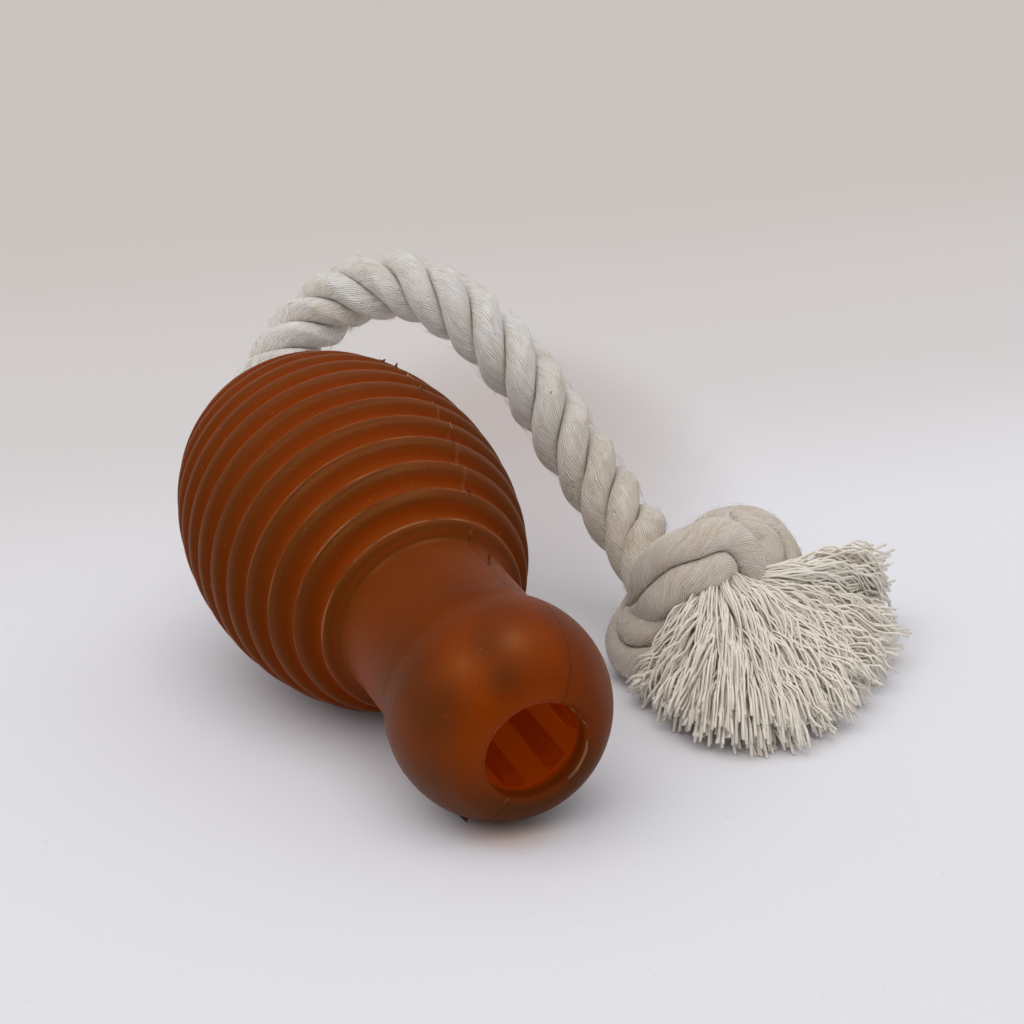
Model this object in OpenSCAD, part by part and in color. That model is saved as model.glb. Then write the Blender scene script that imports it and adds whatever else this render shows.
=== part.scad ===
// Rubber chew toy: a hollow, ribbed rubber bottle shape with a mouth for treats,
// and a laid cotton rope that is knotted inside it, leaves through its rear end,
// arches over to one side and ends in a knot with a frayed tassel.
// It lies on the ground on its bulb and its ball end. X runs along the toy with
// the mouth at +X, Z is up, and the origin is under the middle of the rubber body.

/* [Rubber body] */
// Length along the toy's own axis, from the mouth to the rear face
body_len = 136; // [128:1:138]
// Largest diameter of the bulb, over the crests of its ribs
bulb_d = 68; // [64:1:76]
// Place of the bulb's widest part, as a share of the length from the mouth
bulb_share = 0.66; // [0.64:0.01:0.68]
// Half length of the bulb's curve towards the neck
shoulder_len = 50; // [44:1:54]
// Half length of the bulb's curve towards the rear, as a share of what lies there
tail_share = 1.12; // [1.08:0.01:1.3]
// Diameter of the neck
neck_d = 36; // [32:1:40]
// Diameter of the ball end
ball_d = 43; // [38:1:48]
// Distance from the mouth to the middle of the ball end
ball_at = 16; // [14:1:20]
// Half length of the ball end's curve
ball_len = 21; // [18:1:24]
// Angle on the ball where its rounded nose begins, in degrees
nose_from = 42; // [34:1:48]
// Radius of the rounded edge of the rear face
rear_round = 3; // [1:0.5:4]

/* [Ribs] */
// Number of ribs round the bulb
rib_count = 13; // [6:1:14]
// Spacing of the ribs, measured along the surface
rib_pitch = 6.8; // [5.5:0.1:7]
// Height of a rib's crest over the groove
rib_h = 1.5; // [0.5:0.1:2.2]
// Length of smooth surface between the neck and the first groove
rib_start = 0.5; // [0:0.5:4]

/* [Mouth and chamber] */
// Diameter of the mouth
mouth_d = 20; // [16:0.5:22]
// Rounding of the mouth's edge
mouth_round = 0.8; // [0.4:0.1:1.2]
// Length of the mouth's lip, along the axis
lip_len = 4; // [3:0.5:6]
// Diameter of the channel behind the lip
channel_d = 25; // [23:0.5:26]
// Number of fins along the channel
fin_count = 8; // [4:1:10]
// Width of a fin
fin_w = 4.2; // [2:0.1:4.6]
// Height of a fin over the channel's wall
fin_h = 2; // [1:0.1:2.2]
// Wall of the bulb, under the ribs
bulb_wall = 6.5; // [5:0.5:8]
// Thickness of the rear wall at the axis
rear_wall = 8; // [6:1:10]

/* [Rope] */
// Diameter of the rope
rope_d = 15; // [13:0.5:15.5]
// Radial clearance of the rope in its hole
rope_fit = 0.08; // [0.05:0.01:0.1]

/* [Stopper knot] */
// Room between the inner knot's sides and the wall of the bulb
stop_room = 5.5; // [4.5:0.5:7]
// Thickness of the inner knot's wrap, as a share of its width
stop_share = 0.92; // [0.85:0.01:1]
// Length of rope from the hole to the inner knot's middle
stop_lead = 17; // [16:0.5:19]
// Length of the loose end beyond the inner knot's middle
stop_end = 18; // [16:1:20]

/* [Tassel] */
// Height of the place where the yarns come out of the outer knot
root_h = 22; // [20:0.5:24]
// Thickness of a bunch of yarns at its thickest
bunch_t = 11.5; // [9:0.5:13]
// Thickness of a bunch at its tips
tip_t = 8; // [6:0.5:9]

/* [Hidden] */
rubber = "#8a4418";
cotton = "#d8cfc2";
rib_steps = 8;
arc_steps = 7;
curve_steps = 12;
blend_power = 20;
rope_sides = 12;
knot_steps = 32;
// Length over which the channel widens behind the lip
channel_run = 2;
// Distance from the lip to the front of the fins
fin_setback = 3;
// Height of the knot and the tassel over the ground
ground_gap = 0.3;
// How far a fin goes into the wall
overrun = 1;
$fn = 96;

bulb_r = bulb_d / 2;
neck_r = neck_d / 2;
ball_r = ball_d / 2;
mouth_r = mouth_d / 2;
rope_r = rope_d / 2;
bulb_at = body_len * bulb_share;
rear_half = body_len - bulb_at;
tail_len = rear_half * tail_share;
hole_r = rope_r + rope_fit;
channel_r = channel_d / 2;

// Sections of the body are lists of [radius, height], with the mouth at height 0
// and the rear face at height -body_len.

// The ball from its nose, which rounds over into the mouth's edge, to its widest part
nose_n = [cos(nose_from) / ball_r, sin(nose_from) / ball_len];
nose_dir = nose_n / norm(nose_n);
nose_pt = [ball_r * cos(nose_from), ball_len * sin(nose_from) - ball_at];
nose_r = -nose_pt[1] / (1 - nose_dir[1]);
nose_c = nose_pt - nose_r * nose_dir;
nose_end = mouth_r + mouth_round > nose_c[0] ? acos((mouth_r + mouth_round - nose_c[0]) / nose_r) : 90;
nose_start = atan2(nose_dir[1], nose_dir[0]);
function nose() = [
    for (i = [0 : curve_steps])
        let (t = nose_end + (nose_start - nose_end) * i / curve_steps)
        [nose_c[0] + nose_r * cos(t), nose_c[1] + nose_r * sin(t)]
];
function ball() = [
    for (i = [1 : curve_steps])
        let (t = nose_from * (1 - i / curve_steps))
        [ball_r * cos(t), ball_len * sin(t) - ball_at]
];
nose_top = nose_c[1] + nose_r * sin(nose_end);

// Mouth edge, rounded from the bore to the nose
function mouth_edge() = [
    for (i = [0 : arc_steps])
        let (t = 180 - 90 * i / arc_steps)
        [mouth_r + mouth_round * (1 + cos(t)), nose_top - mouth_round * (1 - sin(t))]
];

// Neck: ball, neck and the floor of the bulb's grooves run into each other along a
// soft curve
groove_r = bulb_r - rib_h;
groove_half = shoulder_len - rib_h;
function half_ellipse(d, half, r) = abs(d) >= half ? 0 : r * sqrt(1 - pow(d / half, 2));
function soft_max(v) = pow(v * [for (x = v) pow(x / neck_r, blend_power - 1)] / neck_r, 1 / blend_power) * neck_r;
function waist_r(z) = soft_max([
    half_ellipse(z + ball_at, ball_len, ball_r),
    neck_r,
    half_ellipse(z + bulb_at, groove_half, groove_r)
]);
shoulder_z = groove_half * sqrt(1 - pow(neck_r / groove_r, 2)) - bulb_at;
neck_len = -ball_at - shoulder_z;
function neck() = [
    for (i = [1 : 2 * curve_steps])
        let (z = -ball_at - neck_len * i / (2 * curve_steps))
        [waist_r(z), z]
];

// Bulb: its curve as points over a turn from the neck (+) to the rear (-), its
// length along the surface, and the wave of the ribs taken off it
bulb_from = acos(neck_r / bulb_r);
bulb_to = -asin((rear_half - rear_round) / tail_len);
bulb_steps = 180;
function bulb_pt(t) = [bulb_r * cos(t), (t > 0 ? shoulder_len : tail_len) * sin(t) - bulb_at];
function bulb_turn(i) = bulb_from + (bulb_to - bulb_from) * i / bulb_steps;
bulb_pts = [for (i = [0 : bulb_steps]) bulb_pt(bulb_turn(i))];
bulb_run = [
    for (i = 0, s = 0; i <= bulb_steps; s = s + (i < bulb_steps ? norm(bulb_pts[i + 1] - bulb_pts[i]) : 0), i = i + 1)
        [s, bulb_turn(i)]
];
bulb_arc = bulb_run[bulb_steps][0];
ribs_fit = min(rib_count, floor((bulb_arc - rib_start) / rib_pitch));
function bulb_normal(t) =
    let (n = [cos(t) / bulb_r, sin(t) / (t > 0 ? shoulder_len : tail_len)])
    n / norm(n);
function rib_drop(s) =
    rib_h * (1 + cos(360 * (s - rib_start) / rib_pitch)) / 2;
rib_run = rib_start + ribs_fit * rib_pitch;
function bulb() = [
    for (i = [1 : ribs_fit * rib_steps])
        let (
            s = rib_start + rib_pitch * i / rib_steps,
            t = lookup(s, bulb_run),
            p = bulb_pt(t) - rib_drop(s) * bulb_normal(t)
        )
        if (p[1] < shoulder_z - neck_len / (4 * curve_steps)) [soft_max([neck_r, p[0]]), p[1]]
];

// Rear: the smooth end cap behind the last rib, its rounded edge and the flat face
rear_steps = 6;
function rear_cap() = [
    for (i = [1 : rear_steps])
        let (s = rib_run + (bulb_arc - rib_run) * i / rear_steps, t = lookup(s, bulb_run))
        bulb_pt(t) - rib_h * bulb_normal(t)
];
rear_edge = rear_cap()[rear_steps - 1];
function rear_face() = [
    for (i = [1 : arc_steps])
        let (t = 90 * i / arc_steps)
        [rear_edge[0] - rear_round * (1 - cos(t)), rear_edge[1] - (body_len + rear_edge[1]) * sin(t)]
];

outer = concat(nose(), ball(), neck(), bulb(), rear_cap(), rear_face());

// Inside: the lip's bore, the channel through ball and neck, the hollow bulb and
// the hole for the rope
hollow_r = bulb_r - rib_h - bulb_wall;
hollow_front = shoulder_len - rib_h - bulb_wall;
hollow_rear = rear_half - rear_wall;
hollow_open = acos(channel_r / hollow_r);
hollow_shut = -acos(hole_r / hollow_r);
channel_end = hollow_front * sin(hollow_open) - bulb_at;
hole_in = hollow_rear * sin(hollow_shut) - bulb_at;
function hollow() = [
    for (i = [0 : 2 * curve_steps])
        let (t = hollow_shut + (hollow_open - hollow_shut) * i / (2 * curve_steps))
        [hollow_r * cos(t), (t > 0 ? hollow_front : hollow_rear) * sin(t) - bulb_at]
];
inner = concat(
    [[hole_r, -body_len]],
    hollow(),
    [[channel_r, -lip_len - channel_run], [channel_r - channel_run / 2, -lip_len], [mouth_r, -lip_len]],
    mouth_edge()
);

// How the toy lies: it leans until the bulb and the ball both touch the ground
function touch(pts, b) = max([for (p = pts) p[0] * cos(b) + p[1] * sin(b)]);
function lean(lo, hi, n) =
    let (b = (lo + hi) / 2)
    n == 0 ? b
    : touch(bulb(), b) > touch(concat(nose(), ball()), b) ? lean(b, hi, n - 1)
    : lean(lo, b, n - 1);
tilt = lean(0, 45, 24);
mouth_h = touch(outer, tilt);
reach_front = max([for (p = outer) p[1] * cos(tilt) + p[0] * sin(tilt)]);
reach_rear = min([for (p = outer) p[1] * cos(tilt) - p[0] * sin(tilt)]);
mouth_x = -(reach_front + reach_rear) / 2;
exit_pt = [mouth_x - body_len * cos(tilt), 0, mouth_h + body_len * sin(tilt)];
out_dir = [-cos(tilt), 0, sin(tilt)];

// Places its children, drawn along the toy's axis with the mouth at the origin
module on_axis() {
    translate([mouth_x, 0, mouth_h])
        rotate([0, 90 + tilt, 0])
            children();
}

// Rubber body
fin_from = -lip_len - fin_setback;
module fins() {
    for (i = [0 : fin_count - 1])
        rotate([0, 0, (i + 0.5) * 360 / fin_count])
            translate([channel_r - fin_h, -fin_w / 2, channel_end])
                cube([fin_h + overrun, fin_w, fin_from - channel_end]);
}

module rubber_body() {
    color(rubber)
        on_axis() {
            rotate_extrude() polygon(concat(outer, inner));
            fins();
        }
}

// Rope: the straight length in the rear wall
shank_in = hole_in + overrun;
module rope_shank() {
    color(cotton)
        on_axis()
            translate([0, 0, -body_len])
                cylinder(r = rope_r, h = shank_in + body_len);
}

// A thick rope along a list of places: a run of round-ended lengths
module rope_chain(pts) {
    for (i = [0 : len(pts) - 2])
        hull() {
            translate(pts[i]) sphere(r = rope_r, $fn = rope_sides);
            translate(pts[i + 1]) sphere(r = rope_r, $fn = rope_sides);
        }
}

// The inner knot, drawn up against the hole: the rope goes in beside the middle,
// turns round the outside one and a half times and leaves on the other side of the
// middle. Its places are [across, deep, along] from the knot's middle.
stop_half_w = hollow_r - stop_room - rope_r;
stop_half_d = stop_half_w * stop_share;
stop_rise = rope_r * stop_share;
stop_mid = shank_in + stop_lead;
function mix(a, b, k) = a + (b - a) * k;
function ease(k) = k * k * (3 - 2 * k);
function stop_pt(k) =
    k < 0.2 ? [rope_r / 2 * ease(k / 0.2), 0, mix(rope_r - stop_lead, stop_rise, k / 0.2)]
    : k > 0.8 ? [-rope_r / 2 * ease((1 - k) / 0.2), 0, mix(-stop_rise, stop_end - rope_r, (k - 0.8) / 0.2)]
    : let (
        j = (k - 0.2) / 0.6,
        a = 540 * j,
        out = ease(min(1, 5 * min(j, 1 - j)))
    )
    [mix(rope_r / 2, stop_half_w, out) * cos(a), stop_half_d * out * sin(a), mix(stop_rise, -stop_rise, j)];

module stopper_knot() {
    color(cotton)
        on_axis() {
            translate([0, 0, stop_mid])
                rope_chain([for (i = [0 : knot_steps]) stop_pt(i / knot_steps)]);
            translate([0, 0, shank_in])
                cylinder(r = rope_r, h = rope_r, $fn = rope_sides);
        }
}

// Rope: the free run from the rear face, over and down to the outer knot, and the
// way it takes through that knot: in behind, up and across the front, round the
// left end, along the bottom, round the right end, over the back and out in front.
// The places are chosen by hand, as [x, y, z].
route_pts = [
    [-77, 1, 45],
    [-83, 4, 48],
    [-87, 9, 52],
    [-90, 14, 57],
    [-91, 20, 62],
    [-89, 26, 67],
    [-84, 32, 70],
    [-78, 38, 71],
    [-71, 43, 69],
    [-65, 48, 65],
    [-59, 52, 60],
    [-54, 56, 54],
    [-49, 60, 47],
    [-43, 63, 39],
    [-36, 66, 32],
    [-29, 67, 27],
    [-21, 68, 23],
    [-13, 67, 20]
];
knot_pts = [
    [-2, 69, 15],
    [3, 72, 14],
    [7, 74, 17],
    [10, 74, 22],
    [13, 72, 27],
    [14, 68, 30],
    [14, 64, 29],
    [12, 61, 27],
    [9, 59, 22],
    [5, 60, 17],
    [1, 60, 12],
    [2, 57, 9],
    [7, 56, 8],
    [12, 59, 10],
    [14, 65, 13],
    [14, 73, 15],
    [11, 81, 16],
    [6, 87, 19],
    [1, 89, 22],
    [-3, 87, 25],
    [-6, 84, 25],
    [-5, 80, 24],
    [-1, 74, 22],
    [7, 71, 22],
    [15, 70, 22]
];
route = concat([exit_pt, exit_pt + out_dir * rope_r / 2], route_pts);

// A tube along a route: rings square to it, each turned on from the last
function unit(v) = v / norm(v);
function heading(p, i) =
    i == 0 ? unit(p[1] - p[0])
    : i == len(p) - 1 ? unit(p[i] - p[i - 1])
    : unit(unit(p[i] - p[i - 1]) + unit(p[i + 1] - p[i]));
function side_on(t, s) = unit(s - (s * t) * t);
function sides(p, i = 0, s = [0, 1, 0]) =
    i == len(p) ? []
    : let (n = side_on(heading(p, i), s)) concat([n], sides(p, i + 1, n));
module tube(p, r, n) {
    side = sides(p);
    rings = [
        for (i = [0 : len(p) - 1], j = [0 : n - 1])
            let (t = heading(p, i), u = side[i], v = cross(t, u), a = 360 * j / n)
            p[i] + r * (cos(a) * u + sin(a) * v)
    ];
    last = (len(p) - 1) * n;
    polyhedron(
        points = rings,
        faces = concat(
            [[for (j = [0 : n - 1]) j]],
            [[for (j = [n - 1 : -1 : 0]) last + j]],
            [for (i = [0 : len(p) - 2], j = [0 : n - 1])
                [i * n + j, (i + 1) * n + j, (i + 1) * n + (j + 1) % n, i * n + (j + 1) % n]]
        )
    );
}

module rope_run() {
    color(cotton) tube(route, rope_r, rope_sides);
}

// Places its children at a place, with their Z along a direction
module facing(p, dir) {
    u = side_on(dir, [0, 1, 0]);
    v = cross(dir, u);
    multmatrix([
        [u[0], v[0], dir[0], p[0]],
        [u[1], v[1], dir[1], p[1]],
        [u[2], v[2], dir[2], p[2]],
        [0, 0, 0, 1]
    ]) children();
}

// The outer knot takes over from the end of the run and rests on the ground
knot_in = route_pts[len(route_pts) - 1];
knot_dir = unit(knot_in - route_pts[len(route_pts) - 2]);
module end_knot() {
    color(cotton)
        intersection() {
            union() {
                facing(knot_in, knot_dir) cylinder(r = rope_r, h = rope_r, $fn = rope_sides);
                rope_chain(concat([knot_in + knot_dir * rope_r], knot_pts));
            }
            translate([-body_len, -body_len, ground_gap]) cube(2 * body_len);
        }
}

// Tassel: the frayed yarns come out of the knot in bunches, which arch over and fall
// to the ground as a fan. The bunches end at these places, [x, y, z].
fan_root = [14, 70, root_h];
fan_edge = [
    [18, 49, 4],
    [33, 46, 4],
    [44, 48, 4],
    [50, 54, 4],
    [52, 62, 4],
    [50, 71, 4],
    [46, 80, 5],
    [39, 90, 6],
    [30, 101, 6],
    [20, 111, 7],
    [8, 120, 9],
    [-5, 126, 10],
    [-15, 119, 6]
];
// Where a bunch is highest, as shares of its reach and of the height it comes from
arch_share = 0.6;
arch_h_share = 0.74;
module bunch(edge) {
    hull() {
        translate(fan_root) sphere(d = bunch_t, $fn = rope_sides);
        translate([
            mix(fan_root[0], edge[0], arch_share),
            mix(fan_root[1], edge[1], arch_share),
            root_h * arch_h_share
        ]) sphere(d = bunch_t, $fn = rope_sides);
        translate(edge) sphere(d = tip_t, $fn = rope_sides);
        translate([mix(fan_root[0], edge[0], arch_share), mix(fan_root[1], edge[1], arch_share), tip_t / 2])
            sphere(d = tip_t, $fn = rope_sides);
    }
}
module tassel() {
    color(cotton)
        intersection() {
            for (edge = fan_edge) bunch(edge);
            translate([-body_len, -body_len, ground_gap]) cube(2 * body_len);
        }
}

rubber_body();
rope_shank();
stopper_knot();
rope_run();
end_knot();
tassel();
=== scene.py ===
"""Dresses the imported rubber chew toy: its ribbed rubber body, the three-strand
cotton rope with its two knots, and the frayed tassel. All lengths are in metres,
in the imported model's own frame."""

import math
import random

import bmesh
import bpy
from bpy.props import FloatProperty, FloatVectorProperty, IntProperty, PointerProperty
from mathutils import Matrix, Vector, kdtree, noise


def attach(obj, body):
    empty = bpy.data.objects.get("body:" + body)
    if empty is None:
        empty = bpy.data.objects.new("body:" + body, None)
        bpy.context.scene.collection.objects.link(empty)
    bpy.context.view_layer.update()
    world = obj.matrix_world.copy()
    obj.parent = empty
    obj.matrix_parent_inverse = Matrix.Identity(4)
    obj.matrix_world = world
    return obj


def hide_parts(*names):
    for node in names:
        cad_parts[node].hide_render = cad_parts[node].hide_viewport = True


bl_info = {
    "name": "Rubber chew toy",
    "version": (1, 0, 0),
    "blender": (4, 5, 0),
    "location": "View3D > Sidebar > Chew toy",
    "description": "Makes a ribbed rubber chew toy with a knotted cotton rope and a tassel",
    "category": "Object",
}

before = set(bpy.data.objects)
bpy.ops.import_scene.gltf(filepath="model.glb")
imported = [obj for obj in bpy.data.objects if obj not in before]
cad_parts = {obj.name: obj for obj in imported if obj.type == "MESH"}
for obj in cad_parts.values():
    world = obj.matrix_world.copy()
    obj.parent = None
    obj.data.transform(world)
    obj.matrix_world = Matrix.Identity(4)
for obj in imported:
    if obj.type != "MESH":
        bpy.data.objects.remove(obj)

MM = 0.001

# The way of the free rope, from the rear face to the outer knot, as in the source
RUN_PLACES = [
    (-77, 1, 45), (-83, 4, 48), (-87, 9, 52), (-90, 14, 57), (-91, 20, 62), (-89, 26, 67),
    (-84, 32, 70), (-78, 38, 71), (-71, 43, 69), (-65, 48, 65), (-59, 52, 60), (-54, 56, 54),
    (-49, 60, 47), (-43, 63, 39), (-36, 66, 32), (-29, 67, 27), (-21, 68, 23), (-13, 67, 20),
]
# Its way through the knot
KNOT_PLACES = [
    (-6, 66, 17.4), (-2, 69, 15), (3, 72, 14), (7, 74, 17), (10, 74, 22), (13, 72, 27), (14, 68, 30),
    (14, 64, 29), (12, 61, 27), (9, 59, 22), (5, 60, 17), (1, 60, 12), (2, 57, 9), (7, 56, 8),
    (12, 59, 10), (14, 65, 13), (14, 73, 15), (11, 81, 16), (6, 87, 19), (1, 89, 22),
    (-3, 87, 25), (-6, 84, 25), (-5, 80, 24), (-1, 74, 22), (7, 71, 22), (15, 70, 22),
]


# ---- sizes and colours that a user would change


class RubberSizes(bpy.types.PropertyGroup):
    """Sizes of the rubber body, as in the source"""

    body_len: FloatProperty(name="Length", description="From the mouth to the rear face", default=0.136, unit="LENGTH")
    bulb_d: FloatProperty(name="Bulb", description="Diameter over the ribs", default=0.068, unit="LENGTH")
    neck_d: FloatProperty(name="Neck", description="Diameter of the neck", default=0.036, unit="LENGTH")
    ball_d: FloatProperty(name="Ball end", description="Diameter of the ball end", default=0.043, unit="LENGTH")
    mouth_d: FloatProperty(name="Mouth", description="Diameter of the mouth", default=0.020, unit="LENGTH")
    rib_count: IntProperty(name="Ribs", description="Number of ribs", default=13, min=6, max=14)
    rib_h: FloatProperty(name="Rib height", description="Crest over groove", default=0.0015, unit="LENGTH")
    fin_count: IntProperty(name="Fins", description="Fins inside the neck", default=8, min=4, max=10)
    turns: IntProperty(name="Smoothness", description="Steps round the body", default=220, min=48, max=260)


class RopeSizes(bpy.types.PropertyGroup):
    """Sizes of the laid rope"""

    rope_d: FloatProperty(name="Diameter", description="Diameter of the rope", default=0.015, unit="LENGTH")
    tight_lay: FloatProperty(
        name="Lay at the body", description="Length in which a strand goes once round, at the rear face",
        default=0.0258, unit="LENGTH",
    )
    lay: FloatProperty(
        name="Lay at the knot", description="Length in which a strand goes once round, at the outer knot",
        default=0.0370, unit="LENGTH",
    )
    yarns: IntProperty(name="Yarns", description="Yarns seen round a strand", default=46, min=12, max=60)
    yarn_lay: FloatProperty(
        name="Yarn lay", description="Length of strand in which a yarn goes once round it", default=0.024, unit="LENGTH"
    )
    hairs: IntProperty(name="Hairs", description="Loose fibres on the rope", default=3600, min=0, max=6000)


class TasselSizes(bpy.types.PropertyGroup):
    """Sizes of the tassel"""

    yarns: IntProperty(name="Yarns", description="Yarns in a bunch", default=56, min=8, max=60)
    yarn_d: FloatProperty(name="Yarn", description="Diameter of a yarn", default=0.00052, unit="LENGTH")
    crimp: FloatProperty(name="Crimp", description="Height of a yarn's waves", default=0.00055, unit="LENGTH")
    seed: IntProperty(name="Seed", description="Changes how the yarns fall", default=5)


class ToyColours(bpy.types.PropertyGroup):
    """Colours of the toy"""

    rubber: FloatVectorProperty(name="Rubber", description="Amber of the rubber", subtype="COLOR", default=(0.165, 0.032, 0.0022))
    cotton: FloatVectorProperty(name="Cotton", description="Colour of the rope", subtype="COLOR", default=(1.0, 0.965, 0.925))
    yarn: FloatVectorProperty(name="Yarn", description="Colour of the tassel", subtype="COLOR", default=(1.0, 0.86, 0.67))
    paper: FloatVectorProperty(name="Floor", description="Colour of the floor", subtype="COLOR", default=(0.83, 0.825, 0.86))


# ---- shader maths


def socket_of(value):
    return value.socket if isinstance(value, Sum) else value


class Sum:
    """A node socket that Python's operators add Math nodes to"""

    def __init__(self, tree, socket):
        self.tree = tree
        self.socket = socket

    def math(self, operation, *values):
        return self.tree.node("ShaderNodeMath", {"operation": operation}, dict(enumerate(values)))

    def __add__(self, other):
        return self.math("ADD", self, other)

    def __sub__(self, other):
        return self.math("SUBTRACT", self, other)

    def __mul__(self, other):
        return self.math("MULTIPLY", self, other)

    def __truediv__(self, other):
        return self.math("DIVIDE", self, other)

    def __pow__(self, other):
        return self.math("POWER", self, other)

    def __rsub__(self, other):
        return self.math("SUBTRACT", other, self)

    __radd__ = __add__
    __rmul__ = __mul__

    def floor(self):
        return self.math("FLOOR", self)

    def fraction(self):
        return self.math("FRACT", self)

    def sin(self):
        return self.math("SINE", self)

    def abs(self):
        return self.math("ABSOLUTE", self)

    def least(self, other):
        return self.math("MINIMUM", self, other)

    def rise(self, low, high):
        """0 at low, 1 at high, smooth between; it falls where low is over high"""
        made = self.tree.node(
            "ShaderNodeMapRange", {"interpolation_type": "SMOOTHSTEP", "clamp": True},
            {0: self, 1: low, 2: high, 3: 0.0, 4: 1.0},
        )
        return made


class Finish:
    """A node material for one finish of the toy"""

    def __init__(self, name):
        self.material = bpy.data.materials.new(name)
        self.material.use_nodes = True
        self.nodes = self.material.node_tree.nodes
        self.links = self.material.node_tree.links
        self.shader = self.nodes["Principled BSDF"]

    def node(self, kind, settings=None, inputs=None, output=0):
        made = self.nodes.new(kind)
        for key, value in (settings or {}).items():
            if key == "stops":
                ramp = made.color_ramp
                while len(ramp.elements) < len(value):
                    ramp.elements.new(0.5)
                for element, (place, colour) in zip(ramp.elements, value):
                    element.position = place
                    element.color = (*colour, 1.0)
            else:
                setattr(made, key, value)
        for key, value in (inputs or {}).items():
            self.feed(made.inputs[key], value)
        return Sum(self, made.outputs[output])

    def feed(self, socket, value):
        value = socket_of(value)
        if isinstance(value, bpy.types.NodeSocket):
            self.links.new(value, socket)
        elif hasattr(value, "__len__") and len(value) == 3 and socket.type == "RGBA":
            socket.default_value = (*value, 1.0)
        else:
            socket.default_value = value

    def set(self, **values):
        for key, value in values.items():
            self.feed(self.shader.inputs[key.replace("_", " ")], value)

    def object_place(self):
        return self.node("ShaderNodeTexCoord", output=3)

    def noise(self, place, scale, detail=2.0, rough=0.5, output=0):
        return self.node(
            "ShaderNodeTexNoise", {}, {"Vector": place, "Scale": scale, "Detail": detail, "Roughness": rough}, output
        )

    def blend(self, factor, first, second, how="MIX"):
        made = self.nodes.new("ShaderNodeMix")
        made.data_type = "RGBA"
        made.blend_type = how
        self.feed(made.inputs[0], factor)
        self.feed(made.inputs[6], first)
        self.feed(made.inputs[7], second)
        return Sum(self, made.outputs[2])

    def parts(self, vector):
        made = self.nodes.new("ShaderNodeSeparateXYZ")
        self.feed(made.inputs[0], vector)
        return [Sum(self, out) for out in made.outputs]

    def joined(self, x, y, z=0.0):
        return self.node("ShaderNodeCombineXYZ", {}, {0: x, 1: y, 2: z})

    def bump(self, height, strength, distance):
        made = self.node("ShaderNodeBump", {}, {"Height": height, "Strength": strength, "Distance": distance})
        self.feed(self.shader.inputs["Normal"], made)


# ---- the toy's own axis


def settings():
    return bpy.context.scene.chew_toy_rubber, bpy.context.scene.chew_toy_rope, bpy.context.scene.chew_toy_tassel


def colours():
    return bpy.context.scene.chew_toy_colours


LEAN = math.radians(10.2175)
MOUTH = Vector((0.0671605, 0.0, 0.0186454))
OUT = Vector((-math.cos(LEAN), 0.0, math.sin(LEAN)))
BODY_LEN = 0.136
EXIT = MOUTH + OUT * BODY_LEN
ON_AXIS = Matrix.Translation(MOUTH) @ Matrix.Rotation(math.pi / 2 + LEAN, 4, "Y")
SEAM = math.radians(25)


def piece(name, bm, material, smooth=True):
    """A mesh object at the origin from a bmesh, with its place in the mesh"""
    mesh = bpy.data.meshes.new(name)
    bm.to_mesh(mesh)
    bm.free()
    for polygon in mesh.polygons:
        polygon.use_smooth = smooth
    mesh.materials.append(material)
    made = bpy.data.objects.new(name, mesh)
    bpy.context.scene.collection.objects.link(made)
    return made


# ---- lines


def smooth_line(places, step, count=0):
    """Points on a smooth curve through the places: a step apart, or a count of lengths"""
    points = [Vector(p) for p in places]
    fine = []
    for i in range(len(points) - 1):
        a, b = points[max(i - 1, 0)], points[i]
        c, d = points[i + 1], points[min(i + 2, len(points) - 1)]
        for k in range(16):
            t = k / 16
            fine.append(0.5 * (2 * b + (c - a) * t + (2 * a - 5 * b + 4 * c - d) * t**2 + (3 * b - a - 3 * c + d) * t**3))
    fine.append(points[-1])
    lengths = [0.0]
    for a, b in zip(fine, fine[1:]):
        lengths.append(lengths[-1] + (b - a).length)
    count = count or max(2, round(lengths[-1] / step))
    line, j = [], 0
    for i in range(count + 1):
        s = lengths[-1] * i / count
        while j < len(lengths) - 2 and lengths[j + 1] < s:
            j += 1
        line.append(fine[j].lerp(fine[j + 1], (s - lengths[j]) / max(lengths[j + 1] - lengths[j], 1e-9)))
    return line


def headings(line):
    return [(line[min(i + 1, len(line) - 1)] - line[max(i - 1, 0)]).normalized() for i in range(len(line))]


def sides(line, first):
    """A side direction at each point, carried along without twist"""
    ways = headings(line)
    side = (first - first.dot(ways[0]) * ways[0]).normalized()
    made = []
    for way in ways:
        side = (side - side.dot(way) * way).normalized()
        made.append(side)
    return ways, made


def running(line):
    total, made = 0.0, [0.0]
    for a, b in zip(line, line[1:]):
        total += (b - a).length
        made.append(total)
    return made


def wrapped_grid(bm, along, around, place, uv_of, layer):
    """A closed tube from a grid: place(i, j) gives its points and uv_of its UVs"""
    made = bmesh.ops.create_grid(bm, x_segments=along, y_segments=around, size=0.5, calc_uvs=False)
    index = {}
    for vert in made["verts"]:
        index[vert] = (round((vert.co.x + 0.5) * along), round((vert.co.y + 0.5) * around))
    faces = {face for vert in made["verts"] for face in vert.link_faces}
    for face in faces:
        for loop in face.loops:
            loop[layer].uv = uv_of(*index[loop.vert])
    rims = [[], []]
    for vert, (i, j) in index.items():
        vert.co = place(i, j)
        if i in (0, along):
            rims[i > 0].append(vert)
    return made["verts"], rims


def close_tube(bm, verts, rims):
    """Joins the tube's long seam, and fills its ends"""
    bmesh.ops.remove_doubles(bm, verts=verts, dist=1e-7)
    for rim in rims:
        rim = {v for v in rim if v.is_valid}
        edges = [e for v in rim for e in v.link_edges if e.is_boundary and e.other_vert(v) in rim]
        if edges:
            bmesh.ops.holes_fill(bm, edges=list(set(edges)), sides=0)


# ---- laid rope

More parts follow.
